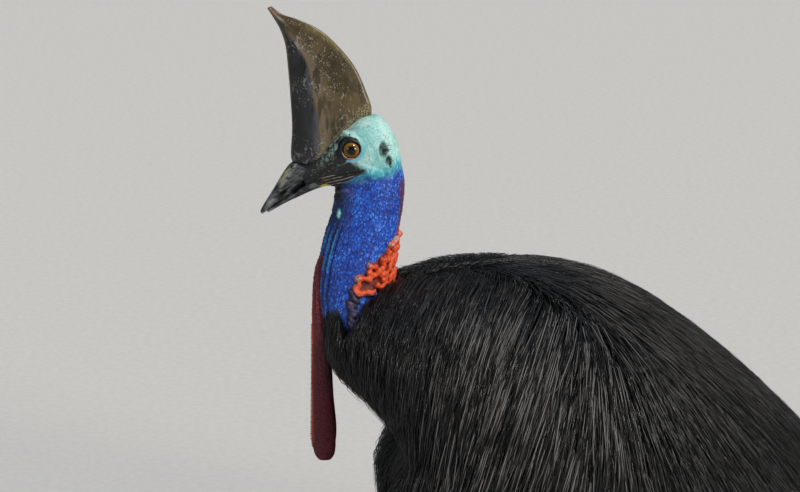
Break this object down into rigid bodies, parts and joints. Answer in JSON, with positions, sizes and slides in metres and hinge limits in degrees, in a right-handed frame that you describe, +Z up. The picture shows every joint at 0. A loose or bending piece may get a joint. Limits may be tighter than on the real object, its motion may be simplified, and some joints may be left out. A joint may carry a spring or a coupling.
{
  "type": "cassowary",
  "caption": "Resting cassowary as a still life-size model: tall casque, bare blue neck with hanging wattles, coarse drooping plumage, legs folded under the body.",
  "frame": {"origin": "on the floor, under the middle of the bird's box", "axes": "-X is the way the bird faces, +X runs to its tail, +Y to its right side, +Z up"},
  "size_m": [0.8745, 0.5147, 0.8029],
  "materials": {
    "horn": "scuffed dark olive-brown horn",
    "bill": "dark grey horn",
    "face_skin": "bare pale blue-green skin, dark between bill and eye",
    "neck_skin": "bare pebbled cobalt blue skin",
    "fold_skin": "wrinkled orange-red skin",
    "wattle_skin": "granular dark crimson skin",
    "plumage": "coarse glossy black plumage",
    "eye": "wet amber-brown",
    "quill": "bare black quill",
    "leg_scale": "grey-brown scales",
    "claw": "dark horn"
  },
  "bodies": {
    "root": {"casque": "horn", "bill_upper": "bill", "bill_lower": "bill", "head": "face_skin", "eye_left": "eye", "eye_right": "eye", "neck": "neck_skin", "nape_caruncle": "fold_skin", "wattle_left": "wattle_skin", "wattle_right": "wattle_skin", "torso": "plumage", "tail": "plumage", "thigh_left": "plumage", "thigh_right": "plumage", "wing_left": "quill", "wing_right": "quill", "tarsus_left": "leg_scale", "tarsus_right": "leg_scale", "toe_inner_left": "leg_scale", "toe_middle_left": "leg_scale", "toe_outer_left": "leg_scale", "toe_inner_right": "leg_scale", "toe_middle_right": "leg_scale", "toe_outer_right": "leg_scale", "claw_inner_left": "claw", "claw_middle_left": "claw", "claw_outer_left": "claw", "claw_inner_right": "claw", "claw_middle_right": "claw", "claw_outer_right": "claw"}
  },
  "joints": []
}
